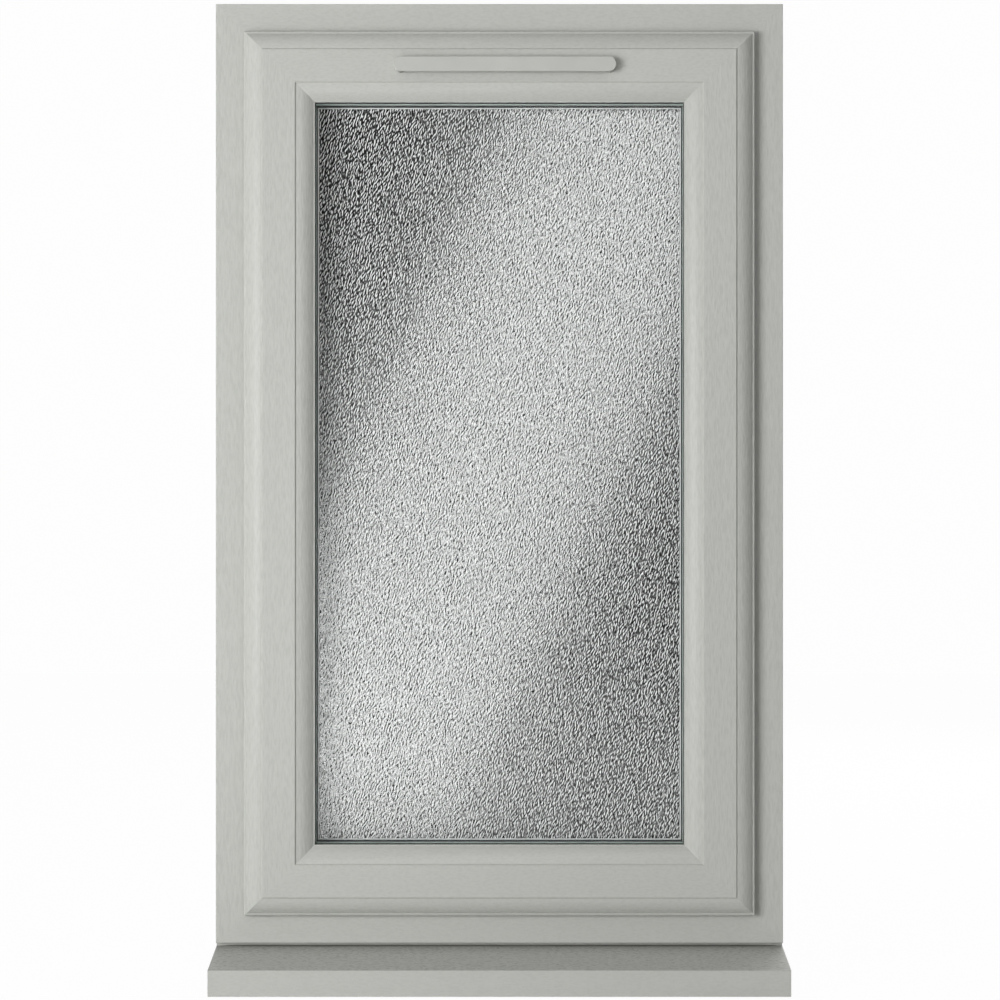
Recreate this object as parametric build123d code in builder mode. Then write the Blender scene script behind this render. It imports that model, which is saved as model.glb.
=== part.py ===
"""A top-hung casement window with a lipped sash, a sealed glass unit, a trickle vent and a projecting cill.

+X is right as seen from outside, +Y runs into the room and +Z is up. The origin is the middle of the
cill's underside, halfway through the depth of the frame. All sizes are in millimetres.

The sections of frame, sash, bead and gaskets are drawn with x from the outer edge of the frame towards
the glass and y from the outside face of the frame into the room.
"""

import os

from build123d import *

# Outer frame
frame_width = 610.0
frame_height = 1010.0
frame_depth = 70.0
frame_face = 40.0
upstand_height = 20.0
upstand_depth = 19.0
profile_wall = 2.8
chamber_web = 1.6
smallest_chamber = 30.0
frame_web_depth = 21.5
corner_radius = 0.8

# Sash
lip_overlap = 9.0
sash_width = 76.0
sash_proud = 20.0
seal_gap = 3.0
hardware_gap = 12.5
lip_side = 7.6
lip_land = 2.6
lip_round = 2.0
quirk_depth = 1.4
quirk_width = 1.2
outer_mould_width = 21.0
outer_mould_radius = 22.4
inner_mould_width = 20.5
inner_mould_drop = 10.0
inner_mould_radius = 28.5
sight_land = 1.1
leg_depth = 17.0
glazing_rebate = 22.0
sash_web_depth = 28.0
hardware_groove_width = 16.0
hardware_groove_depth = 3.0
hardware_groove_setback = 15.0

# Sealed glass unit
pane_thickness = 4.0
glass_cavity = 20.0
glass_edge_gap = 7.0
spacer_sight = 0.2
spacer_height = 12.0

# Gaskets and glazing beads
glazing_gasket = 3.0
gasket_lip = 0.6
gasket_width = 8.0
bead_height = 19.5
bead_edge = 3.0
bead_land = 3.0
bead_radius = 26.0
weather_seal_width = 5.6
weather_seal_inset = 1.4
weather_seal_radius = 1.0

# Cill
cill_height = 30.0
cill_projection = 80.0
cill_step = 4.0
cill_step_setback = 9.7
cill_fall = 11.1
nose_height = 27.6
nose_width = 16.0
drip_width = 4.0
drip_depth = 3.0
cill_rib_spacing = 34.0
end_cap = 2.5

# Frame fixings, three through each jamb
fixing_diameter = 8.0
fixing_end_distance = 150.0
fixing_setback = 38.0

# Trickle vent
vent_offset = 6.0
vent_length = 237.0
vent_height = 16.2
vent_projection = 11.0
vent_corner = 7.6
vent_edge = 1.0
vent_wall = 1.6
vent_slot_length = 92.0
vent_slot_height = 8.0
vent_slot_spacing = 104.0
vent_body_length = 262.0
vent_body_height = 17.0
vent_body_depth = 7.0
vent_body_corner = 3.0
vent_flap_length = 238.0
vent_flap_height = 12.0
vent_flap_depth = 4.0
vent_grip_length = 40.0
vent_grip_height = 2.4
vent_grip_offset = 3.0

# Handle, on the room side of the bottom rail
handle_plate_length = 76.0
handle_plate_width = 22.0
handle_plate_depth = 10.0
handle_plate_edge = 2.0
handle_boss_radius = 9.0
handle_reach = 28.0
lever_length = 118.0
lever_width = 19.0
lever_tip_width = 14.0
lever_depth = 9.5
lever_edge = 2.5

# Friction stays, in the gap between frame and sash at each side
stay_length = 400.0
stay_end_distance = 70.0
stay_width = 18.0
stay_plate = 2.2
stay_channel = 4.6
stay_channel_wall = 1.4
stay_arm_width = 13.0
stay_arm_long = 235.0
stay_arm_gap = 35.0
stay_rivet_radius = 3.2
stay_clearance = 0.6

# Positions that follow from these
left, right = -frame_width / 2, frame_width / 2
bottom, top = cill_height, cill_height + frame_height
face_y = -frame_depth / 2
rebate_depth = frame_depth - upstand_depth
frame_sight = frame_face + upstand_height
lip_edge = frame_face - lip_overlap
sash_back = frame_face + hardware_gap
sight_edge = lip_edge + sash_width
sash_rear = rebate_depth - seal_gap
flat_start = lip_edge + outer_mould_width
flat_end = sight_edge - inner_mould_width
platform = sight_edge - glazing_rebate
leg_back = leg_depth - sash_proud
glass_front = leg_back + glazing_gasket
glass_back = glass_front + 2 * pane_thickness + glass_cavity
bead_front = glass_back + glazing_gasket
bead_sight = platform + bead_height

os.makedirs("parts", exist_ok=True)


def save(part, name):
    part.label = name
    export_step(part, f"parts/{name}.step")


def run_of(start, end, inward):
    """One side of the window: the plane of its section, its length and its two mitre planes."""
    begin, finish, across = Vector(*start), Vector(*end), Vector(*inward)
    along = (finish - begin).normalized()
    return (
        Plane(origin=begin, x_dir=across, z_dir=along),
        (finish - begin).length,
        Plane(origin=begin, z_dir=along - across),
        Plane(origin=finish, z_dir=along * -1 - across),
    )


sides = {
    "left": run_of((left, face_y, bottom), (left, face_y, top), (1, 0, 0)),
    "top": run_of((left, face_y, top), (right, face_y, top), (0, 0, -1)),
    "right": run_of((right, face_y, top), (right, face_y, bottom), (-1, 0, 0)),
    "bottom": run_of((right, face_y, bottom), (left, face_y, bottom), (0, 0, 1)),
}


def mitred(side, section):
    """A straight length of a section along one side, cut at 45 degrees where it meets its neighbours."""
    plane, length, start_mitre, end_mitre = sides[side]
    with BuildPart() as member:
        with BuildSketch(plane):
            add(section)
        extrude(amount=length)
        split(bisect_by=start_mitre, keep=Keep.TOP)
        split(bisect_by=end_mitre, keep=Keep.TOP)
    return member.part


def ring(section):
    """A section carried round all four sides in one piece, as a gasket is."""
    with BuildPart() as loop:
        for side in sides:
            add(mitred(side, section))
    return loop.part


def chambered(outline, webs):
    """An extruded profile: the outline hollowed to its wall thickness, with webs (centre, size) left across."""
    with BuildSketch() as voids:
        add(outline)
        offset(amount=-profile_wall, kind=Kind.INTERSECTION)
        for centre, size in webs:
            with Locations(centre):
                Rectangle(*size, mode=Mode.SUBTRACT)
    with BuildSketch() as profile:
        add(outline)
        for chamber in voids.faces():
            if chamber.area > smallest_chamber:
                add(chamber, mode=Mode.SUBTRACT)
    return profile.sketch


# Outer frame: two walls of chambers in front of the rebate and one behind it, under the upstand
with BuildSketch() as frame_outline:
    with BuildLine():
        FilletPolyline(
            (0, 0),
            (frame_face, 0),
            (frame_face, rebate_depth),
            (frame_sight, rebate_depth),
            (frame_sight, frame_depth),
            (0, frame_depth),
            radius=corner_radius,
            close=True,
        )
    make_face()
frame_webs = [
    ((frame_face / 2, frame_web_depth), (frame_face, chamber_web)),
    ((frame_face / 2, rebate_depth + profile_wall / 2), (frame_face, profile_wall)),
]
frame_section = chambered(frame_outline.sketch, frame_webs)

fixing_heights = (
    bottom + fixing_end_distance,
    (bottom + top) / 2,
    top - fixing_end_distance,
)
with BuildPart() as frame_left_jamb:
    add(mitred("left", frame_section))
    for height in fixing_heights:
        with Locations(Location((left + frame_face / 2, face_y + fixing_setback, height), (0, 90, 0))):
            Cylinder(fixing_diameter / 2, frame_face * 2, mode=Mode.SUBTRACT)
save(frame_left_jamb.part, "frame_left_jamb")

with BuildPart() as frame_right_jamb:
    add(mitred("right", frame_section))
    for height in fixing_heights:
        with Locations(Location((right - frame_face / 2, face_y + fixing_setback, height), (0, 90, 0))):
            Cylinder(fixing_diameter / 2, frame_face * 2, mode=Mode.SUBTRACT)
save(frame_right_jamb.part, "frame_right_jamb")

with BuildPart() as frame_head:
    add(mitred("top", frame_section))
save(frame_head.part, "frame_head")

with BuildPart() as frame_bottom_rail:
    add(mitred("bottom", frame_section))
save(frame_bottom_rail.part, "frame_bottom_rail")

# Sash: the lip laps over the frame, an ovolo moulding runs down from the flat to each of its edges
lip_front = -seal_gap - lip_side
sight_front = inner_mould_drop - sash_proud
groove_start = hardware_groove_setback - hardware_groove_width / 2
groove_end = hardware_groove_setback + hardware_groove_width / 2
groove_floor = sash_back + hardware_groove_depth
with BuildSketch() as sash_outline:
    with BuildLine():
        Polyline(
            (lip_edge + lip_land, lip_front),
            (lip_edge, lip_front),
            (lip_edge, -seal_gap),
            (sash_back, -seal_gap),
            (sash_back, groove_start),
            (groove_floor, groove_start),
            (groove_floor, groove_end),
            (sash_back, groove_end),
            (sash_back, sash_rear),
            (platform, sash_rear),
            (platform, leg_back),
            (sight_edge, leg_back),
            (sight_edge, sight_front),
            (sight_edge - sight_land, sight_front),
        )
        RadiusArc(
            (sight_edge - sight_land, sight_front),
            (flat_end + quirk_width, quirk_depth - sash_proud),
            inner_mould_radius,
        )
        Polyline(
            (flat_end + quirk_width, quirk_depth - sash_proud),
            (flat_end, -sash_proud),
            (flat_start, -sash_proud),
            (flat_start - quirk_width, quirk_depth - sash_proud),
        )
        RadiusArc(
            (flat_start - quirk_width, quirk_depth - sash_proud),
            (lip_edge + lip_land, lip_front),
            outer_mould_radius,
        )
    make_face()
sash_middle = (sash_back + platform) / 2
sash_webs = [
    ((sash_middle, leg_back), (sash_width, profile_wall)),
    ((sash_middle, sash_web_depth), (platform - sash_back, chamber_web)),
    ((platform, (leg_back - sash_proud) / 2), (chamber_web, leg_depth)),
]
with BuildSketch() as sash_profile:
    add(chambered(sash_outline.sketch, sash_webs))
    lip_corner = sash_profile.vertices().group_by(Axis.X)[0].sort_by(Axis.Y)[0]
    fillet(lip_corner, radius=lip_round)
sash_section = sash_profile.sketch

for side, name in (("left", "sash_left_stile"), ("right", "sash_right_stile"), ("bottom", "sash_bottom_rail")):
    save(mitred(side, sash_section), name)

# The top rail has two slots routed through it for the trickle vent
vent_level = top - (flat_start + flat_end) / 2
with BuildPart() as sash_top_rail:
    add(mitred("top", sash_section))
    with BuildSketch(Plane(origin=(vent_offset, face_y - sash_proud, vent_level), x_dir=(1, 0, 0), z_dir=(0, 1, 0))):
        with GridLocations(vent_slot_spacing, 0, 2, 1):
            SlotOverall(vent_slot_length, vent_slot_height)
    extrude(amount=sash_proud + sash_rear, mode=Mode.SUBTRACT)
save(sash_top_rail.part, "sash_top_rail")

# Weather seals: one in the upstand against the sash, one under the lip against the frame
with BuildSketch() as inner_seal_section:
    with Locations(((sash_back + frame_sight) / 2, (sash_rear + rebate_depth) / 2)):
        RectangleRounded(weather_seal_width, seal_gap, weather_seal_radius)
save(ring(inner_seal_section.sketch), "frame_gasket")

with BuildSketch() as outer_seal_section:
    with Locations((lip_edge + weather_seal_inset + weather_seal_width / 2, -seal_gap / 2)):
        RectangleRounded(weather_seal_width, seal_gap, weather_seal_radius)
save(ring(outer_seal_section.sketch), "sash_gasket")

# Sealed glass unit: two panes on a spacer bar
glass_edge = platform + glass_edge_gap
spacer_edge = sight_edge + spacer_sight
middle_height = (bottom + top) / 2


def pane(front):
    with BuildPart() as sheet:
        with Locations((0, face_y + front + pane_thickness / 2, middle_height)):
            Box(frame_width - 2 * glass_edge, pane_thickness, frame_height - 2 * glass_edge)
    return sheet.part


save(pane(glass_front), "outer_pane")
save(pane(glass_back - pane_thickness), "inner_pane")

with BuildSketch() as spacer_section:
    with Locations((spacer_edge - spacer_height / 2, (glass_front + glass_back) / 2)):
        Rectangle(spacer_height, glass_cavity)
save(ring(spacer_section.sketch), "spacer_bar")

# Glazing gaskets on both faces of the unit, each with a lip that shows past the profile
with BuildSketch() as outer_gasket_section:
    with BuildLine():
        Polyline(
            (sight_edge - gasket_width, leg_back),
            (sight_edge, leg_back),
            (sight_edge + gasket_lip, leg_back + gasket_lip),
            (sight_edge + gasket_lip, glass_front),
            (sight_edge - gasket_width, glass_front),
            close=True,
        )
    make_face()
save(ring(outer_gasket_section.sketch), "outer_glazing_gasket")

with BuildSketch() as bead_gasket_section:
    with BuildLine():
        Polyline(
            (bead_sight - gasket_width, glass_back),
            (bead_sight + gasket_lip, glass_back),
            (bead_sight + gasket_lip, bead_front - gasket_lip),
            (bead_sight, bead_front),
            (bead_sight - gasket_width, bead_front),
            close=True,
        )
    make_face()
save(ring(bead_gasket_section.sketch), "bead_gasket")

# Glazing beads, clipped on from the room side
with BuildSketch() as bead_section:
    with BuildLine():
        Polyline(
            (platform + bead_land, sash_rear),
            (platform, sash_rear),
            (platform, bead_front),
            (bead_sight, bead_front),
            (bead_sight, bead_front + bead_edge),
        )
        RadiusArc((bead_sight, bead_front + bead_edge), (platform + bead_land, sash_rear), -bead_radius)
    make_face()
for side in sides:
    save(mitred(side, bead_section.sketch), f"glazing_bead_{side}")

# Trickle vent, outside: a hood over the slots, open below and stiffened by a rib between them
canopy_back = Plane(origin=(vent_offset, face_y - sash_proud, vent_level), x_dir=(1, 0, 0), z_dir=(0, -1, 0))
with BuildPart() as vent_canopy:
    with BuildSketch(canopy_back):
        RectangleRounded(vent_length, vent_height, vent_corner)
    extrude(amount=vent_projection)
    fillet(vent_canopy.faces().sort_by(Axis.Y)[0].edges(), radius=vent_edge)
    with BuildSketch(canopy_back):
        RectangleRounded(vent_length - 2 * vent_wall, vent_height - 2 * vent_wall, vent_corner - vent_wall)
    extrude(amount=vent_projection - vent_wall, mode=Mode.SUBTRACT)
    with BuildSketch(canopy_back):
        with Locations((0, -vent_height / 2)):
            Rectangle(vent_length - 2 * vent_corner, vent_height)
    extrude(amount=vent_projection - vent_wall, mode=Mode.SUBTRACT)
    with BuildSketch(canopy_back):
        Rectangle(vent_wall, vent_height - vent_wall)
    extrude(amount=vent_projection - vent_wall)
save(vent_canopy.part, "vent_canopy")

# Trickle vent, inside: a body screwed over the slots and a flap that shuts it
body_plane = Plane(origin=(vent_offset, face_y + sash_rear, vent_level), x_dir=(1, 0, 0), z_dir=(0, 1, 0))
with BuildPart() as vent_body:
    with BuildSketch(body_plane):
        RectangleRounded(vent_body_length, vent_body_height, vent_body_corner)
    extrude(amount=vent_body_depth)
    chamfer(vent_body.faces().sort_by(Axis.Y)[-1].edges(), length=vent_edge)
    with BuildSketch(body_plane):
        with GridLocations(vent_slot_spacing, 0, 2, 1):
            SlotOverall(vent_slot_length, vent_slot_height)
    extrude(amount=vent_body_depth, mode=Mode.SUBTRACT)
save(vent_body.part, "vent_body")

with BuildPart() as vent_flap:
    with BuildSketch(body_plane.offset(vent_body_depth)):
        RectangleRounded(vent_flap_length, vent_flap_height, vent_body_corner)
    extrude(amount=vent_flap_depth)
    chamfer(vent_flap.faces().sort_by(Axis.Y)[-1].edges(), length=vent_edge)
    with BuildSketch(body_plane.offset(vent_body_depth + vent_flap_depth)):
        with Locations((0, vent_grip_offset)):
            SlotOverall(vent_grip_length, vent_grip_height)
    extrude(amount=vent_grip_height)
save(vent_flap.part, "vent_flap")

# Cill: a hollow extrusion with a sloping top, a hanging nose with a drip groove, and a cap on each end
nose_y = face_y - cill_projection
step_y = face_y + cill_step_setback
slope_top = cill_height - cill_step
nose_top = slope_top - cill_fall
nose_bottom = nose_top - nose_height
with BuildSketch() as cill_outline:
    with BuildLine():
        Polyline(
            (-face_y, 0),
            (-face_y, cill_height),
            (step_y, cill_height),
            (step_y, slope_top),
            (nose_y, nose_top),
            (nose_y, nose_bottom),
            (nose_y + nose_width / 2 - drip_width / 2, nose_bottom),
            (nose_y + nose_width / 2 - drip_width / 2, nose_bottom + drip_depth),
            (nose_y + nose_width / 2 + drip_width / 2, nose_bottom + drip_depth),
            (nose_y + nose_width / 2 + drip_width / 2, nose_bottom),
            (nose_y + nose_width, nose_bottom),
            (nose_y + nose_width, 0),
            close=True,
        )
    make_face()
    fillet(cill_outline.vertices().sort_by(Axis.X)[:2], radius=corner_radius)
cill_ribs = [
    ((nose_y + nose_width + spacing * cill_rib_spacing, cill_height / 2), (chamber_web, 2 * cill_height))
    for spacing in range(int((frame_depth + cill_projection - nose_width) / cill_rib_spacing) + 1)
]
cill_section = chambered(cill_outline.sketch, cill_ribs)

with BuildPart() as cill:
    with BuildSketch(Plane.YZ.offset(left + end_cap)):
        add(cill_section)
    extrude(amount=frame_width - 2 * end_cap)
save(cill.part, "cill")

with BuildPart() as cill_end_cap_left:
    with BuildSketch(Plane.YZ.offset(left)):
        add(cill_outline.sketch)
    extrude(amount=end_cap)
save(cill_end_cap_left.part, "cill_end_cap_left")

with BuildPart() as cill_end_cap_right:
    with BuildSketch(Plane.YZ.offset(right - end_cap)):
        add(cill_outline.sketch)
    extrude(amount=end_cap)
save(cill_end_cap_right.part, "cill_end_cap_right")

# Handle: a plate on the bottom rail and a lever that lies along the rail when locked
handle_level = bottom + (frame_sight + platform) / 2
plate_plane = Plane(origin=(0, face_y + sash_rear, handle_level), x_dir=(1, 0, 0), z_dir=(0, 1, 0))
with BuildPart() as handle_plate:
    with BuildSketch(plate_plane):
        SlotOverall(handle_plate_length, handle_plate_width)
    extrude(amount=handle_plate_depth)
    chamfer(handle_plate.faces().sort_by(Axis.Y)[-1].edges(), length=handle_plate_edge)
save(handle_plate.part, "handle_plate")

lever_plane = plate_plane.offset(handle_plate_depth + handle_reach - lever_depth)
with BuildPart() as handle_lever:
    with BuildSketch(lever_plane):
        with BuildLine():
            tip = lever_length - lever_width / 2 - lever_tip_width / 2
            Line((0, lever_width / 2), (tip, lever_tip_width / 2))
            RadiusArc((tip, lever_tip_width / 2), (tip, -lever_tip_width / 2), lever_tip_width / 2)
            Line((tip, -lever_tip_width / 2), (0, -lever_width / 2))
            RadiusArc((0, -lever_width / 2), (0, lever_width / 2), lever_width / 2)
        make_face()
    extrude(amount=lever_depth)
    chamfer(handle_lever.faces().sort_by(Axis.Y)[-1].edges(), length=lever_edge)
    chamfer(handle_lever.faces().sort_by(Axis.Y)[0].edges(), length=lever_edge)
    with BuildSketch(plate_plane.offset(handle_plate_depth)):
        Circle(handle_boss_radius)
    extrude(amount=handle_reach - lever_depth / 2)
save(handle_lever.part, "handle_lever")

# Friction stays: a track on each jamb, a bar on each stile and two arms riveted between them
stay_top = top - stay_end_distance
stay_y = face_y + hardware_groove_setback
stay_arm_short = stay_length - stay_arm_long - stay_arm_gap
arm_inner = left + frame_face + stay_channel + stay_clearance
bar_inner = left + sash_back - stay_plate


def stay_arm(length, start):
    """An arm with a rivet down into the track at its upper end and one up into the sash bar at its lower."""
    low, high = start - length + stay_arm_width / 2, start - stay_arm_width / 2
    with BuildPart() as arm:
        with BuildSketch(Plane(origin=(arm_inner, stay_y, (low + high) / 2), x_dir=(0, 0, 1), z_dir=(1, 0, 0))):
            SlotCenterToCenter(high - low, stay_arm_width)
        extrude(amount=stay_plate)
        with BuildSketch(Plane(origin=(left + frame_face + stay_plate, stay_y, high), z_dir=(1, 0, 0))):
            Circle(stay_rivet_radius)
        extrude(amount=stay_channel + stay_clearance - stay_plate)
        with BuildSketch(Plane(origin=(arm_inner + stay_plate, stay_y, low), z_dir=(1, 0, 0))):
            Circle(stay_rivet_radius)
        extrude(amount=bar_inner - arm_inner - stay_plate)
    return arm.part


with BuildPart() as stay_track:
    with Locations((left + frame_face + stay_channel / 2, stay_y, stay_top - stay_length / 2)):
        Box(stay_channel, stay_width, stay_length)
    with Locations((left + frame_face + stay_plate + stay_channel / 2, stay_y, stay_top - stay_length / 2)):
        Box(stay_channel, stay_width - 2 * stay_channel_wall, stay_length, mode=Mode.SUBTRACT)

with BuildPart() as stay_bar:
    with Locations((bar_inner + stay_plate / 2, stay_y, stay_top - stay_length / 2)):
        Box(stay_plate, stay_width, stay_length)

stay_pieces = {
    "track": stay_track.part,
    "long_arm": stay_arm(stay_arm_long, stay_top),
    "short_arm": stay_arm(stay_arm_short, stay_top - stay_length + stay_arm_short),
    "bar": stay_bar.part,
}
for name, piece in stay_pieces.items():
    save(piece, f"stay_{name}_left")
    save(mirror(piece, about=Plane.YZ), f"stay_{name}_right")
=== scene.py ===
import math

import bpy
import numpy as np
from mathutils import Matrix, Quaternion, Vector


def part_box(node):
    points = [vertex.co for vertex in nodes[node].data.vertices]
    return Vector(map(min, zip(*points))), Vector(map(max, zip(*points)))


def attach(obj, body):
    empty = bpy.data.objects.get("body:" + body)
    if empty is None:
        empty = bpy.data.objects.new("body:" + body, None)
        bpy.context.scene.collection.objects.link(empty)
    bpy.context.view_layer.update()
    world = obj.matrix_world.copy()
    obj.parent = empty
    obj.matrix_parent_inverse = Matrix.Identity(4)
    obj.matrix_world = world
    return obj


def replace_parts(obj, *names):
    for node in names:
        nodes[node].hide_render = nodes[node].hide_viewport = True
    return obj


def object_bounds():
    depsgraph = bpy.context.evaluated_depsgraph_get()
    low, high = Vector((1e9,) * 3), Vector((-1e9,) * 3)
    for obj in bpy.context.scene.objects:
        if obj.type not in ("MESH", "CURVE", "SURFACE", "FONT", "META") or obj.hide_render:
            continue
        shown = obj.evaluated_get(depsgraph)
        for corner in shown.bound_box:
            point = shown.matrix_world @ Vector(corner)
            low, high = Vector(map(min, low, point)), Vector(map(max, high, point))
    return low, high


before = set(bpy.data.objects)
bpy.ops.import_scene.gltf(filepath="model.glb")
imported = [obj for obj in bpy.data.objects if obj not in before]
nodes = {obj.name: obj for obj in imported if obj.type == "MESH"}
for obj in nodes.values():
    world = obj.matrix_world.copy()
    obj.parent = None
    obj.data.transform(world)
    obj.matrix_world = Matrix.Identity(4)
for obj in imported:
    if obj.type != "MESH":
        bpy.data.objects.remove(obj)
cad_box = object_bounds()

# Outer frame: four lengths of hollow plastic profile, mitred and welded at the corners.
# A warm grey foil with a fine embossed woodgrain is laminated to it, the grain along each length.
# The foil stops at the underside, where the core of the profile is painted dark.
# That dark is partly the core's own colour and partly painted shade for the crevice above the cill.
FOIL_PALE = (0.489, 0.493, 0.466, 1.0)
FOIL_DEEP = (0.427, 0.431, 0.405, 1.0)
CORE_DARK_SHADE = (0.040, 0.038, 0.034, 1.0)
FOIL_ROUGHNESS, FOIL_SPECULAR = 0.28, 0.12
SHEEN_SPREAD = 0.06
PORES_PER_METRE, DRIFTS_PER_METRE = 560.0, 150.0
DRIFT_LENGTH, DRIFT_SHARE = 4.0, 0.1
LONG_PORE, SHORT_PORE = 0.011, 0.005
GRAIN_UPRIGHT = (0.0, 0.0, 0.0)
GRAIN_LEVEL = (0.0, math.pi / 2, 0.0)
CORE_HEIGHT = 0.0002


def foil_grain_group(name, pore_length):
    """Woodgrain along Z: fine pores of the given length over a broader and longer drift of tone.

    Both are noises that are stretched along Z.
    """
    group = bpy.data.node_groups.new(name, "ShaderNodeTree")
    group.interface.new_socket("Vector", in_out="INPUT", socket_type="NodeSocketVector")
    group.interface.new_socket("Tone", in_out="OUTPUT", socket_type="NodeSocketFloat")
    group.interface.new_socket("Height", in_out="OUTPUT", socket_type="NodeSocketFloat")
    start = group.nodes.new("NodeGroupInput")
    end = group.nodes.new("NodeGroupOutput")
    noises = {}
    for layer, across, length in (
        ("pores", PORES_PER_METRE, pore_length),
        ("drift", DRIFTS_PER_METRE, DRIFT_LENGTH * pore_length),
    ):
        stretch = group.nodes.new("ShaderNodeMapping")
        stretch.inputs["Scale"].default_value = (across, across, 1.0 / length)
        noise = group.nodes.new("ShaderNodeTexNoise")
        noise.inputs["Scale"].default_value = 1.0
        noise.inputs["Detail"].default_value = 1.0
        noise.inputs["Roughness"].default_value = 0.55
        group.links.new(start.outputs["Vector"], stretch.inputs["Vector"])
        group.links.new(stretch.outputs["Vector"], noise.inputs["Vector"])
        noises[layer] = noise.outputs["Fac"]
    tone = group.nodes.new("ShaderNodeMix")
    tone.inputs["Factor"].default_value = DRIFT_SHARE
    group.links.new(noises["pores"], tone.inputs["A"])
    group.links.new(noises["drift"], tone.inputs["B"])
    group.links.new(tone.outputs["Result"], end.inputs["Tone"])
    group.links.new(noises["pores"], end.inputs["Height"])
    return group


def new_finish(name, roughness, specular=0.5):
    """A node material with one Principled shader; its nodes, its wiring call and the shader come too."""
    material = bpy.data.materials.new(name)
    material.use_nodes = True
    shader = material.node_tree.nodes["Principled BSDF"]
    shader.inputs["Roughness"].default_value = roughness
    shader.inputs["Specular IOR Level"].default_value = specular
    return material, material.node_tree.nodes, material.node_tree.links.new, shader


def ramp(tree, *stops):
    """A colour ramp with the given (place, colour) stops."""
    made = tree.new("ShaderNodeValToRGB")
    elements = made.color_ramp.elements
    while len(elements) < len(stops):
        elements.new(0.5)
    for element, (place, colour) in zip(elements, stops):
        element.position = place
        element.color = colour
    return made


def maths(tree, operation, *values):
    """A maths node with the given values on its sockets in order; None leaves a socket to be wired."""
    made = tree.new("ShaderNodeMath")
    made.operation = operation
    for socket, value in zip(made.inputs, values):
        if value is not None:
            socket.default_value = value
    return made


def vary_gloss(tree, wire, shader, mask, spread):
    """Roughness that swings by the spread about the shader's own value, as the mask goes from 0 to 1."""
    roughness = shader.inputs["Roughness"]
    sheen = tree.new("ShaderNodeMapRange")
    sheen.inputs["To Min"].default_value = roughness.default_value - spread
    sheen.inputs["To Max"].default_value = roughness.default_value + spread
    wire(mask, sheen.inputs["Value"])
    wire(sheen.outputs["Result"], roughness)


def emboss(tree, wire, shader, height, strength, depth):
    """A bump of the given strength and depth, raised by a mask of heights."""
    relief = tree.new("ShaderNodeBump")
    relief.inputs["Strength"].default_value = strength
    relief.inputs["Distance"].default_value = depth
    wire(height, relief.inputs["Height"])
    wire(relief.outputs["Normal"], shader.inputs["Normal"])


def foil_finish(name, foil_grain, turn, contrast, depth, bare_core_shade_below=-1.0):
    """Foil with the grain along Z once Object coordinates are turned by the given angles.

    Below the given height the bare core is painted dark, partly as painted shade for the crevice above the
    cill.
    """
    material, tree, wire, shader = new_finish(name, FOIL_ROUGHNESS, FOIL_SPECULAR)
    place = tree.new("ShaderNodeTexCoord").outputs["Object"]
    mapping = tree.new("ShaderNodeMapping")
    mapping.inputs["Rotation"].default_value = turn
    grain = tree.new("ShaderNodeGroup")
    grain.node_tree = foil_grain
    colour = ramp(tree, (0.5 - 0.5 / contrast, FOIL_DEEP), (0.5 + 0.5 / contrast, FOIL_PALE))
    height = tree.new("ShaderNodeSeparateXYZ")
    bare = maths(tree, "LESS_THAN", None, bare_core_shade_below)
    skin = tree.new("ShaderNodeMix")
    skin.data_type = "RGBA"
    # The core's dark colour is partly painted shade, darkening the crevice between frame and cill.
    skin.inputs["B"].default_value = CORE_DARK_SHADE
    wire(place, mapping.inputs["Vector"])
    wire(mapping.outputs["Vector"], grain.inputs["Vector"])
    wire(grain.outputs["Tone"], colour.inputs["Fac"])
    wire(place, height.inputs["Vector"])
    wire(height.outputs["Z"], bare.inputs[0])
    wire(bare.outputs["Value"], skin.inputs["Factor"])
    wire(colour.outputs["Color"], skin.inputs["A"])
    wire(skin.outputs["Result"], shader.inputs["Base Color"])
    vary_gloss(tree, wire, shader, grain.outputs["Height"], SHEEN_SPREAD)
    emboss(tree, wire, shader, grain.outputs["Height"], strength=0.8, depth=depth)
    return material


def dress(material, *names):
    """Gives the named solids one finish."""
    for name in names:
        nodes[name].data.materials.clear()
        nodes[name].data.materials.append(material)


jamb_low, jamb_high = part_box("frame_right_jamb")
core_shade_top = jamb_low.z + CORE_HEIGHT
long_grain = foil_grain_group("long_grain", LONG_PORE)
short_grain = foil_grain_group("short_grain", SHORT_PORE)
# The same foil is painted with long, stronger grain on the uprights and short, fainter grain on the levels,
# partly as grain and partly as painted shade of the pores where light from the left rakes across the
# uprights.
upright_foil = foil_finish("upright_foil", long_grain, GRAIN_UPRIGHT, contrast=1.7, depth=0.0003)
level_foil = foil_finish("level_foil", short_grain, GRAIN_LEVEL, contrast=1.0, depth=0.0001)
rail_foil = foil_finish(
    "rail_foil", short_grain, GRAIN_LEVEL, contrast=1.0, depth=0.0001, bare_core_shade_below=core_shade_top
)
dress(upright_foil, "frame_left_jamb", "frame_right_jamb")
dress(level_foil, "frame_head")
dress(rail_foil, "frame_bottom_rail")

# Sash: four lengths of the lipped profile with an ovolo on each side of its flat, welded like the frame.
# It wears the same foil, and the top rail has two slots routed through it for air.
dress(upright_foil, "sash_left_stile", "sash_right_stile")
dress(level_foil, "sash_top_rail", "sash_bottom_rail")

# Weather seals and glazing gaskets: black rubber strips pushed into grooves of the profiles.
# The rubber is extruded, so it has a fine dull skin with a little dust on it.
RUBBER_DEEP = (0.012, 0.014, 0.013, 1.0)
RUBBER_PALE = (0.026, 0.031, 0.028, 1.0)


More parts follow.
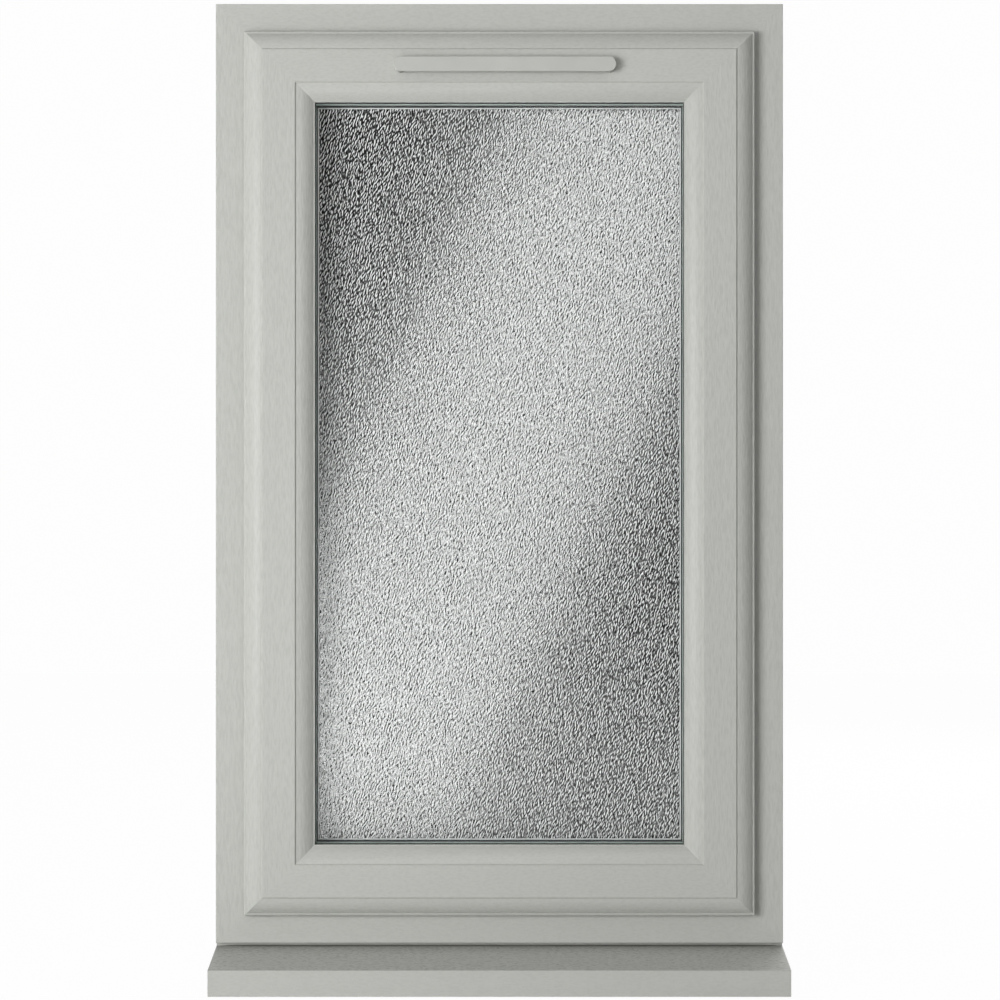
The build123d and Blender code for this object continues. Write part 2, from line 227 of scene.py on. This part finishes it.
def dusty_skin_group():
    """A fine even skin and a slow cloud of dust, each a noise, for rubber and moulded plastic."""
    group = bpy.data.node_groups.new("dusty_skin", "ShaderNodeTree")
    group.interface.new_socket("Vector", in_out="INPUT", socket_type="NodeSocketVector")
    group.interface.new_socket("Grain Size", in_out="INPUT", socket_type="NodeSocketFloat")
    group.interface.new_socket("Dust", in_out="OUTPUT", socket_type="NodeSocketFloat")
    group.interface.new_socket("Height", in_out="OUTPUT", socket_type="NodeSocketFloat")
    start = group.nodes.new("NodeGroupInput")
    end = group.nodes.new("NodeGroupOutput")
    scale = maths(group.nodes, "DIVIDE", 1.0)
    skin = group.nodes.new("ShaderNodeTexNoise")
    skin.inputs["Detail"].default_value = 2.0
    cloud = group.nodes.new("ShaderNodeTexNoise")
    cloud.inputs["Scale"].default_value = 35.0
    cloud.inputs["Detail"].default_value = 3.0
    group.links.new(start.outputs["Grain Size"], scale.inputs[1])
    group.links.new(scale.outputs["Value"], skin.inputs["Scale"])
    group.links.new(start.outputs["Vector"], skin.inputs["Vector"])
    group.links.new(start.outputs["Vector"], cloud.inputs["Vector"])
    group.links.new(cloud.outputs["Fac"], end.inputs["Dust"])
    group.links.new(skin.outputs["Fac"], end.inputs["Height"])
    return group


dusty_skin = dusty_skin_group()


def skin_finish(name, deep, pale, grain_size, depth, roughness, specular=0.5):
    """A moulded or extruded skin: two tones mixed by the dust cloud, with a fine relief."""
    material, tree, wire, shader = new_finish(name, roughness, specular)
    place = tree.new("ShaderNodeTexCoord").outputs["Object"]
    skin = tree.new("ShaderNodeGroup")
    skin.node_tree = dusty_skin
    skin.inputs["Grain Size"].default_value = grain_size
    colour = ramp(tree, (0.35, deep), (0.65, pale))
    wire(place, skin.inputs["Vector"])
    wire(skin.outputs["Dust"], colour.inputs["Fac"])
    wire(colour.outputs["Color"], shader.inputs["Base Color"])
    vary_gloss(tree, wire, shader, skin.outputs["Dust"], SHEEN_SPREAD)
    emboss(tree, wire, shader, skin.outputs["Height"], strength=0.6, depth=depth)
    return material


seal_rubber = skin_finish(
    "seal_rubber", RUBBER_DEEP, RUBBER_PALE, grain_size=0.0006, depth=0.00008, roughness=0.62, specular=0.4
)
dress(seal_rubber, "frame_gasket", "sash_gasket", "outer_glazing_gasket", "bead_gasket")

# Sealed unit: a clear pane outside, a stippled privacy pane inside and a grey spacer bar between them.
# The stipple is rolled into the inner pane as small soft lumps that lean, and stops short of a smooth rim.
# Its colour is painted light and shade: each lump is painted bright on one side and dark on the other.
# A line of black butyl along the spacer seals it to the inner pane.
STIPPLE_SIZE, STIPPLE_STRETCH = 0.0014, 2.6
STIPPLE_LEAN = math.radians(17.0)
STIPPLE_STEP = 0.42 * STIPPLE_SIZE
STIPPLE_SHADE = -0.5
STIPPLE_EDGE, STIPPLE_FADE = 0.1096, 0.0003
RIM_GREY = (0.50, 0.51, 0.505, 1.0)
SPACER_EDGE = 0.1072
SMEAR_EDGE, SMEAR_FADE = -0.0215, 0.0005
BUTYL_WIDTH, BUTYL_HEIGHT = 0.0010, 0.0003

clear_glass, tree, wire, shader = new_finish("clear_glass", roughness=0.03, specular=0.1)
shader.inputs["Transmission Weight"].default_value = 1.0
shader.inputs["IOR"].default_value = 1.12
place = tree.new("ShaderNodeTexCoord").outputs["Object"]
ripple = tree.new("ShaderNodeTexNoise")
ripple.inputs["Scale"].default_value = 6.0
glass_tint = ramp(tree, (0.3, (0.965, 0.975, 0.970, 1.0)), (0.7, (0.975, 0.985, 0.980, 1.0)))
wire(place, ripple.inputs["Vector"])
wire(ripple.outputs["Fac"], glass_tint.inputs["Fac"])
wire(glass_tint.outputs["Color"], shader.inputs["Base Color"])
emboss(tree, wire, shader, ripple.outputs["Fac"], strength=0.05, depth=0.0002)
dress(clear_glass, "outer_pane")
nodes["outer_pane"].visible_shadow = False

mid_height = (jamb_low.z + jamb_high.z) / 2
half_height = (jamb_high.z - jamb_low.z) / 2


def inset_group():
    """How far a point lies inside the nearest outer edge of the frame, from its X and its height."""
    group = bpy.data.node_groups.new("inset", "ShaderNodeTree")
    group.interface.new_socket("Vector", in_out="INPUT", socket_type="NodeSocketVector")
    group.interface.new_socket("Inset", in_out="OUTPUT", socket_type="NodeSocketFloat")
    start = group.nodes.new("NodeGroupInput")
    end = group.nodes.new("NodeGroupOutput")
    parts = group.nodes.new("ShaderNodeSeparateXYZ")
    group.links.new(start.outputs["Vector"], parts.inputs["Vector"])
    nearest = maths(group.nodes, "MINIMUM")
    for number, (axis, centre, half) in enumerate((("X", 0.0, jamb_high.x), ("Z", mid_height, half_height))):
        offset = maths(group.nodes, "SUBTRACT", None, centre)
        distance = maths(group.nodes, "ABSOLUTE")
        inside = maths(group.nodes, "SUBTRACT", half)
        group.links.new(parts.outputs[axis], offset.inputs[0])
        group.links.new(offset.outputs["Value"], distance.inputs[0])
        group.links.new(distance.outputs["Value"], inside.inputs[1])
        group.links.new(inside.outputs["Value"], nearest.inputs[number])
    group.links.new(nearest.outputs["Value"], end.inputs["Inset"])
    return group


def grey(level):
    """An even grey of the given level."""
    return (level, level, level, 1.0)


stippled_glass, tree, wire, shader = new_finish("stippled_glass", roughness=0.5, specular=0.0)
shader.inputs["Coat IOR"].default_value = 3.6
shader.inputs["Coat Roughness"].default_value = 0.20
place = tree.new("ShaderNodeTexCoord").outputs["Object"]
lumps = []
for side in (1.0, -1.0):
    step = tree.new("ShaderNodeMapping")
    step.vector_type = "TEXTURE"
    step.inputs["Location"].default_value = (
        -side * STIPPLE_STEP * math.cos(STIPPLE_LEAN),
        0.0,
        side * STIPPLE_STEP * math.sin(STIPPLE_LEAN),
    )
    step.inputs["Rotation"].default_value = (0.0, STIPPLE_LEAN, 0.0)
    step.inputs["Scale"].default_value = (1.0, 1.0, STIPPLE_STRETCH)
    noise = tree.new("ShaderNodeTexNoise")
    noise.inputs["Scale"].default_value = 1.0 / STIPPLE_SIZE
    noise.inputs["Detail"].default_value = 0.0
    wire(place, step.inputs["Vector"])
    wire(step.outputs["Vector"], noise.inputs["Vector"])
    lumps.append(noise.outputs["Fac"])
# Painted glints and painted shade: each lump is made lighter on one side and darker on the other, as if lit.
slope = maths(tree, "MULTIPLY_ADD", None, STIPPLE_SHADE)
spread = tree.new("ShaderNodeMapRange")
spread.inputs["From Min"].default_value = 0.05
spread.inputs["From Max"].default_value = 0.45
painted_glint_and_shade = ramp(tree, (0.49, grey(0.0)), (0.63, grey(0.10)), (0.78, grey(0.42)), (1.00, grey(0.60)))
glare = ramp(
    tree, (0.00, grey(0.0)), (0.35, grey(0.46)), (0.50, grey(0.71)), (0.80, grey(0.10)), (1.00, grey(0.0))
)
inset = tree.new("ShaderNodeGroup")
inset.node_tree = inset_group()
rim = tree.new("ShaderNodeMapRange")
rim.inputs["From Min"].default_value = STIPPLE_EDGE - STIPPLE_FADE
rim.inputs["From Max"].default_value = STIPPLE_EDGE + STIPPLE_FADE
rolled = tree.new("ShaderNodeMix")
rolled.data_type = "RGBA"
rolled.inputs["A"].default_value = RIM_GREY
shine = maths(tree, "MULTIPLY")
wire(lumps[1], slope.inputs[0])
wire(lumps[0], slope.inputs[2])
wire(slope.outputs["Value"], spread.inputs["Value"])
wire(place, inset.inputs["Vector"])
wire(inset.outputs["Inset"], rim.inputs["Value"])
wire(spread.outputs["Result"], painted_glint_and_shade.inputs["Fac"])
wire(rim.outputs["Result"], rolled.inputs["Factor"])
wire(painted_glint_and_shade.outputs["Color"], rolled.inputs["B"])
wire(rolled.outputs["Result"], shader.inputs["Base Color"])
wire(spread.outputs["Result"], glare.inputs["Fac"])
wire(glare.outputs["Color"], shine.inputs[0])
wire(rim.outputs["Result"], shine.inputs[1])
wire(shine.outputs["Value"], shader.inputs["Coat Weight"])
emboss(tree, wire, shader, lumps[0], strength=0.25, depth=0.0002)
dress(stippled_glass, "inner_pane")

spacer_grey = skin_finish(
    "spacer_grey",
    deep=(0.42, 0.51, 0.46, 1.0),
    pale=(0.50, 0.60, 0.54, 1.0),
    grain_size=0.0008,
    depth=0.00005,
    roughness=0.38,
)
tree, wire = spacer_grey.node_tree.nodes, spacer_grey.node_tree.links.new
shader = tree["Principled BSDF"]
place = tree.new("ShaderNodeTexCoord").outputs["Object"]
parts = tree.new("ShaderNodeSeparateXYZ")
smear = tree.new("ShaderNodeMapRange")
smear.inputs["From Min"].default_value = SMEAR_EDGE - SMEAR_FADE
smear.inputs["From Max"].default_value = SMEAR_EDGE + SMEAR_FADE
sealed = tree.new("ShaderNodeMix")
sealed.data_type = "RGBA"
sealed.inputs["B"].default_value = RUBBER_DEEP
wire(place, parts.inputs["Vector"])
wire(parts.outputs["Y"], smear.inputs["Value"])
wire(smear.outputs["Result"], sealed.inputs["Factor"])
wire(shader.inputs["Base Color"].links[0].from_socket, sealed.inputs["A"])
wire(sealed.outputs["Result"], shader.inputs["Base Color"])
dress(spacer_grey, "spacer_bar")


def surface(name, points, finish, closed_rows=False):
    """A mesh over a grid of points in rows and columns, one face between each four neighbours.

    Each row is a closed line of points; closed rows join the last row to the first as well.
    """
    rows, columns = points.shape[:2]
    last = rows if closed_rows else rows - 1
    row, column = np.meshgrid(np.arange(last), np.arange(columns), indexing="ij")
    below = (row + 1) % rows
    beside = (column + 1) % columns
    corners = ((row, column), (below, column), (below, beside), (row, beside))
    faces = np.stack([down * columns + over for down, over in corners], axis=-1).reshape(-1, 4)
    mesh = bpy.data.meshes.new(name)
    mesh.from_pydata(points.reshape(-1, 3).tolist(), [], faces.tolist())
    mesh.polygons.foreach_set("use_smooth", np.ones(len(faces), dtype=bool))
    mesh.materials.append(finish)
    piece = bpy.data.objects.new(name, mesh)
    bpy.context.scene.collection.objects.link(piece)
    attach(piece, "root")
    return piece


def mitred_ring(inset_of, depth):
    """A profile of insets from the frame's edge and depths in Y, carried round the window's four mitres."""
    wide, tall = jamb_high.x - inset_of, half_height - inset_of
    turns = ((-1, -1), (1, -1), (1, 1), (-1, 1))
    return np.array([np.stack([x * wide, depth, mid_height + z * tall], axis=1) for x, z in turns])


def butyl_ring():
    """Half an ellipse on the face of the inner pane, its base along the spacer, carried round the unit."""
    bulge = np.linspace(0.0, math.pi, 7)
    inset_of = SPACER_EDGE + BUTYL_WIDTH / 2 * (1.0 - np.cos(bulge))
    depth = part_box("inner_pane")[0].y - BUTYL_HEIGHT * np.sin(bulge)
    return mitred_ring(inset_of, depth)


surface("butyl_line", butyl_ring(), seal_rubber, closed_rows=True)

# Glazing beads: four coved strips of the same foiled plastic, mitred and clipped in from the room side.
# They press the bead gasket against the inner pane.
dress(upright_foil, "glazing_bead_left", "glazing_bead_right")
dress(level_foil, "glazing_bead_top", "glazing_bead_bottom")

# Trickle vent: a moulded hood outside and a body with a sliding flap inside, over the slots in the top rail.
# All three are moulded plastic in the colour of the foil, with a fine spark-eroded skin.
# A push-in cap hides the screw at each end of the body.
VENT_CAP_RADIUS, VENT_CAP_RISE = 0.0036, 0.0011
CAP_SHOULDER = 0.6

vent_plastic = skin_finish(
    "vent_plastic",
    deep=(0.436, 0.441, 0.415, 1.0),
    pale=(0.456, 0.461, 0.434, 1.0),
    grain_size=0.0007,
    depth=0.00005,
    roughness=0.40,
    specular=0.13,
)
dress(vent_plastic, "vent_canopy", "vent_body", "vent_flap")


def turned(centre, radius, height, steps=40):
    """A profile of radii and heights turned about an axis through the centre that points into the room."""
    angle = np.linspace(0.0, 2 * math.pi, steps, endpoint=False)
    return np.stack(
        [
            centre[0] + radius[:, None] * np.cos(angle),
            centre[1] + height[:, None] + 0.0 * angle,
            centre[2] + radius[:, None] * np.sin(angle),
        ],
        axis=-1,
    )


def domed_cap(centre, radius, rise):
    """A low dome: the height goes up with the sine of an angle, the radius in with a power of its cosine."""
    angle = np.linspace(0.0, math.pi / 2, 7)
    return turned(centre, radius * np.cos(angle) ** CAP_SHOULDER, rise * np.sin(angle))


body_low, body_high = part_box("vent_body")
flap_low, flap_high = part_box("vent_flap")
body_z = (body_low.z + body_high.z) / 2
for name, cap_x in (
    ("vent_cap_left", (body_low.x + flap_low.x) / 2),
    ("vent_cap_right", (body_high.x + flap_high.x) / 2),
):
    cap = domed_cap((cap_x, body_high.y, body_z), VENT_CAP_RADIUS, VENT_CAP_RISE)
    surface(name, cap, vent_plastic)

# Cill: a hollow extrusion with a sloping top and a hanging nose, foiled along its length.
# A thin moulded cap is pressed into each end, and a dark bead of sealant fills the corner under the frame;
# its darkness is partly painted shade for that corner.
STEP_Y, STEP_Z, CILL_FALL = -0.0253, 0.0260, 11.1 / 89.7
SEALANT_RISE, SEALANT_REACH, SEALANT_SAG = 0.0007, 0.0040, 1.5
SEALANT_STOP, SEALANT_TAPER, SEALANT_END = 0.006, 0.02, 0.02

cill_foil = foil_finish("cill_foil", short_grain, GRAIN_LEVEL, contrast=1.0, depth=0.00002)
dress(cill_foil, "cill")
dress(vent_plastic, "cill_end_cap_left", "cill_end_cap_right")


def sealant_shade_bead():
    """A small wedge with a hollow face in the corner of step and slope, carried along the frame.

    Its height falls off as a power of the share of its reach that is left, measured from the cill's slope.
    Near each end the whole section shrinks with the square root of the length that is left.
    """
    reach = np.linspace(0.0, 1.0, 6)
    rise = SEALANT_RISE * (1.0 - reach) ** SEALANT_SAG - CILL_FALL * SEALANT_REACH * reach
    section = np.vstack([np.stack([-SEALANT_REACH * reach, rise], axis=1), [(0.0, 0.0)]])
    half_length = jamb_high.x - SEALANT_STOP
    stations = np.linspace(half_length, -half_length, 41)
    swell = np.clip((half_length - np.abs(stations)) / SEALANT_TAPER, SEALANT_END, 1.0) ** 0.5
    bead = np.empty((len(stations), len(section), 3))
    bead[:, :, 0] = stations[:, None]
    bead[:, :, 1] = STEP_Y + swell[:, None] * section[:, 0]
    bead[:, :, 2] = STEP_Z + swell[:, None] * section[:, 1]
    return bead


# The sealant's dark grey is partly painted shade for the corner under the frame.
sealant_shade_grey = skin_finish(
    "sealant_shade_grey",
    deep=(0.160, 0.160, 0.140, 1.0),
    pale=(0.190, 0.190, 0.168, 1.0),
    grain_size=0.0008,
    depth=0.00005,
    roughness=0.5,
    specular=0.2,
)
surface("cill_sealant_shade", sealant_shade_bead(), sealant_shade_grey)

# Handle: a cast lever on a cast plate, screwed to the room side of the bottom rail.
# Both are coated in a satin enamel with a faint orange peel; a push lock and a screw cap sit on the plate.
# The lever swells out of its round neck, bends over and thins towards a rounded tip.
NECK_RADIUS, NECK_LENGTH = 0.0090, 0.0135
LEVER_HALF_DEPTH, TIP_LENGTH = 0.00475, 0.0080
WIDTH_TAPER, DEPTH_TAPER = 0.0025, 0.0006
LEVER_SQUARENESS = 0.85
BARREL_RADIUS, BARREL_RISE, BARREL_INSET = 0.0058, 0.0042, 0.014
HANDLE_CAP_RADIUS, HANDLE_CAP_RISE, HANDLE_CAP_INSET = 0.0045, 0.0009, 0.011

handle_enamel = skin_finish(
    "handle_enamel",
    deep=(0.58, 0.585, 0.57, 1.0),
    pale=(0.63, 0.635, 0.62, 1.0),
    grain_size=0.0016,
    depth=0.00005,
    roughness=0.3,
)
dress(handle_enamel, "handle_plate", "handle_lever")

lever_low, lever_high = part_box("handle_lever")
plate_low, plate_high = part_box("handle_plate")
handle_z = (lever_low.z + lever_high.z) / 2


def signed_power(share, power):
    """The share raised to a power, with its own sign."""
    return np.sign(share) * np.abs(share) ** power


def lever_skin():
    """A rounded section carried along a straight neck, a quarter turn and a straight grip.

    The section goes from the neck's round to the lever's flat oval with the sine of the turn, thins evenly
    along the grip, and closes at the tip as a quarter of an ellipse.
    """
    bend = lever_high.y - LEVER_HALF_DEPTH - lever_low.y - NECK_LENGTH
    neck_top = lever_low.y + NECK_LENGTH
    neck = np.linspace(lever_low.y, neck_top, 5)[:4]
    arc = np.linspace(0.0, math.pi / 2, 14)
    grip = np.linspace(bend, lever_high.x - TIP_LENGTH, 16)[1:]
    tip = np.sin(np.linspace(0.0, math.pi / 2, 12))[1:]
    level = len(grip) + len(tip)
    path_x = np.concatenate(
        [np.zeros(len(neck)), bend * (1 - np.cos(arc)), grip, lever_high.x - TIP_LENGTH * (1 - tip)]
    )
    path_y = np.concatenate([neck, neck_top + bend * np.sin(arc), np.full(level, neck_top + bend)])
    lean = np.concatenate([np.zeros(len(neck)), arc, np.full(level, math.pi / 2)])
    along = np.clip((path_x - bend) / (lever_high.x - bend), 0.0, 1.0)
    turned_over = np.sin(lean)
    close = np.concatenate([np.ones(len(lean) - len(tip)), np.sqrt(np.maximum(1.0 - tip**2, 0.0))])
    widening = lever_high.z - handle_z - NECK_RADIUS
    flattening = LEVER_HALF_DEPTH - NECK_RADIUS
    half_width = (NECK_RADIUS + widening * turned_over - WIDTH_TAPER * along) * close
    half_depth = (NECK_RADIUS + flattening * turned_over - DEPTH_TAPER * along) * close
    angle = np.linspace(0.0, 2 * math.pi, 48, endpoint=False)
    across = signed_power(np.cos(angle), LEVER_SQUARENESS)
    through = signed_power(np.sin(angle), LEVER_SQUARENESS)
    return np.stack(
        [
            path_x[:, None] - (half_depth * np.cos(lean))[:, None] * through,
            path_y[:, None] + (half_depth * np.sin(lean))[:, None] * through,
            handle_z + half_width[:, None] * across,
        ],
        axis=-1,
    )


def lock_barrel(centre):
    """A short drum with a rounded rim and a shallow round push button sunk in its top, turned."""
    radius = BARREL_RADIUS * np.array((1.0, 1.0, 0.97, 0.88, 0.62, 0.58, 0.54, 0.0))
    height = BARREL_RISE * np.array((0.0, 0.80, 0.93, 1.0, 1.0, 0.86, 0.84, 0.84))
    return turned(centre, radius, height)


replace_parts(surface("cast_lever", lever_skin(), handle_enamel), "handle_lever")
barrel = lock_barrel((plate_low.x + BARREL_INSET, plate_high.y, handle_z))
surface("lock_barrel", barrel, handle_enamel)
cap_centre = (plate_high.x - HANDLE_CAP_INSET, plate_high.y, handle_z)
cap = domed_cap(cap_centre, HANDLE_CAP_RADIUS, HANDLE_CAP_RISE)
surface("handle_screw_cap", cap, handle_enamel)

# Friction stays: pressed stainless steel track, bar and arms, riveted together in the gap at each side.
# The strip is brushed along its length.
stay_steel, tree, wire, shader = new_finish("stay_steel", roughness=0.34)
shader.inputs["Metallic"].default_value = 1.0
place = tree.new("ShaderNodeTexCoord").outputs["Object"]
grain = tree.new("ShaderNodeGroup")
grain.node_tree = long_grain
colour = ramp(tree, (0.3, (0.50, 0.49, 0.47, 1.0)), (0.7, (0.64, 0.63, 0.61, 1.0)))
wire(place, grain.inputs["Vector"])
wire(grain.outputs["Tone"], colour.inputs["Fac"])
wire(colour.outputs["Color"], shader.inputs["Base Color"])
vary_gloss(tree, wire, shader, grain.outputs["Height"], spread=0.10)
dress(stay_steel, *[name for name in nodes if name.startswith("stay_")])

# Studio: a white floor under the nose of the cill and a white wall far behind, both plain.
# They show white to the camera, to gloss and through glass, and still take the window's shadow.
STUDIO_SIDE, STUDIO_FRONT, STUDIO_BACK, STUDIO_TOP = 20.0, -30.0, 5.0, 8.0
FLOOR_GLOW, WALL_GLOW = 0.975, 0.98


def flat_sheet(name, corners, material):
    """A flat stage sheet through four corners."""
    mesh = bpy.data.meshes.new(name)
    mesh.from_pydata(corners, [], [(0, 1, 2, 3)])
    mesh.materials.append(material)
    sheet = bpy.data.objects.new(name, mesh)
    bpy.context.scene.collection.objects.link(sheet)
    return sheet


def studio_white(name, glow):
    """Matt white for bounced light; to the camera, to gloss and through glass the glow is plain white."""
    material = bpy.data.materials.new(name)
    material.use_nodes = True
    tree, wire = material.node_tree.nodes, material.node_tree.links.new
    tree.remove(tree["Principled BSDF"])
    matt = tree.new("ShaderNodeBsdfDiffuse")
    matt.inputs["Color"].default_value = grey(0.85)
    white = tree.new("ShaderNodeEmission")
    path = tree.new("ShaderNodeLightPath")
    seen = maths(tree, "MAXIMUM")
    also = maths(tree, "MAXIMUM")
    share = maths(tree, "MULTIPLY", None, glow)
    mix = tree.new("ShaderNodeMixShader")
    wire(path.outputs["Is Camera Ray"], seen.inputs[0])
    wire(path.outputs["Is Glossy Ray"], seen.inputs[1])
    wire(seen.outputs["Value"], also.inputs[0])
    wire(path.outputs["Is Transmission Ray"], also.inputs[1])
    wire(also.outputs["Value"], share.inputs[0])
    wire(share.outputs["Value"], mix.inputs["Fac"])
    wire(matt.outputs["BSDF"], mix.inputs[1])
    wire(white.outputs["Emission"], mix.inputs[2])
    wire(mix.outputs["Shader"], tree["Material Output"].inputs["Surface"])
    return material


floor_level = cad_box[0].z
floor_corners = [
    (-STUDIO_SIDE, STUDIO_FRONT, floor_level),
    (STUDIO_SIDE, STUDIO_FRONT, floor_level),
    (STUDIO_SIDE, STUDIO_BACK, floor_level),
    (-STUDIO_SIDE, STUDIO_BACK, floor_level),
]
wall_corners = [
    (-STUDIO_SIDE, STUDIO_BACK, floor_level),
    (STUDIO_SIDE, STUDIO_BACK, floor_level),
    (STUDIO_SIDE, STUDIO_BACK, STUDIO_TOP),
    (-STUDIO_SIDE, STUDIO_BACK, STUDIO_TOP),
]
flat_sheet("floor", floor_corners, studio_white("floor", FLOOR_GLOW))
flat_sheet("back_wall", wall_corners, studio_white("back_wall", WALL_GLOW))

# Light: one broad soft box to the left of the camera, a slim leaning one in front that shows only in gloss,
# a weak one overhead, one on the room side, a black cloth behind the camera that also shows only in gloss,
# and an even room light that is plain white to the camera.
AIM = (0.0, -0.045, 0.52)
FLAG_SIDE, FLAG_Y, FLAG_BOTTOM, FLAG_TOP = 3.0, -4.5, -1.0, 4.0
ROOM_LEVEL = 0.29


def soft_box(name, place, size, radiance, lean=0.0):
    """A rectangular lamp of the given radiance that faces the window, turned by the lean on its axis."""
    lamp = bpy.data.lights.new(name, "AREA")
    lamp.shape = "RECTANGLE"
    lamp.size, lamp.size_y = size
    lamp.energy = radiance * math.pi * size[0] * size[1]
    box = bpy.data.objects.new(name, lamp)
    bpy.context.scene.collection.objects.link(box)
    away = Vector(place) - Vector(AIM)
    turn = away.to_track_quat("Z", "Y")
    turn.rotate(Quaternion(away.normalized(), lean))
    box.rotation_mode = "QUATERNION"
    box.rotation_quaternion = turn
    box.location = place
    box.visible_camera = False
    return box


key = soft_box("key_light", (-1.90, -2.46, 0.63), (1.7, 1.25), radiance=11.5)
key.visible_transmission = False
strip = soft_box("strip_light", (0.012, -1.25, 0.63), (0.39, 1.39), radiance=3.7, lean=-math.radians(25.0))
strip.visible_diffuse = False
overhead = soft_box("overhead_light", (0.0, -1.20, 2.60), (2.4, 1.2), radiance=0.5)
overhead.visible_transmission = False
overhead.visible_glossy = False
room_side = soft_box("room_side_light", (1.60, 2.40, 1.50), (1.6, 1.2), radiance=6.5)
room_side.visible_transmission = False

black_cloth, tree, wire, shader = new_finish("black_cloth", roughness=0.9, specular=0.0)
cloth = ramp(tree, (0.3, grey(0.004)), (0.7, grey(0.008)))
weave = tree.new("ShaderNodeTexNoise")
wire(tree.new("ShaderNodeTexCoord").outputs["Object"], weave.inputs["Vector"])
wire(weave.outputs["Fac"], cloth.inputs["Fac"])
wire(cloth.outputs["Color"], shader.inputs["Base Color"])
flag_corners = [
    (-FLAG_SIDE, FLAG_Y, FLAG_BOTTOM),
    (FLAG_SIDE, FLAG_Y, FLAG_BOTTOM),
    (FLAG_SIDE, FLAG_Y, FLAG_TOP),
    (-FLAG_SIDE, FLAG_Y, FLAG_TOP),
]
black_flag = flat_sheet("black_flag", flag_corners, black_cloth)
black_flag.visible_camera = False
black_flag.visible_diffuse = False
black_flag.visible_shadow = False

world = bpy.data.worlds.new("room_light")
bpy.context.scene.world = world
world.use_nodes = True
world.cycles_visibility.transmission = False
tree, wire = world.node_tree.nodes, world.node_tree.links.new
path = tree.new("ShaderNodeLightPath")
level = maths(tree, "MAXIMUM", None, ROOM_LEVEL)
tree["Background"].inputs["Color"].default_value = grey(1.0)
wire(path.outputs["Is Camera Ray"], level.inputs[0])
wire(level.outputs["Value"], tree["Background"].inputs["Strength"])

# Camera: square on to the window at mid height.
# It stands far enough back for the cill's nose to look as deep as it does.
lens = bpy.data.cameras.new("camera")
lens.lens = 94.2
lens.sensor_width = 36.0
camera = bpy.data.objects.new("camera", lens)
camera.location = (0.00065, -2.849, 0.50655)
camera.rotation_euler = (math.pi / 2, 0.0, 0.0)
bpy.context.scene.collection.objects.link(camera)
bpy.context.scene.camera = camera
bpy.context.scene.view_settings.view_transform = "Standard"
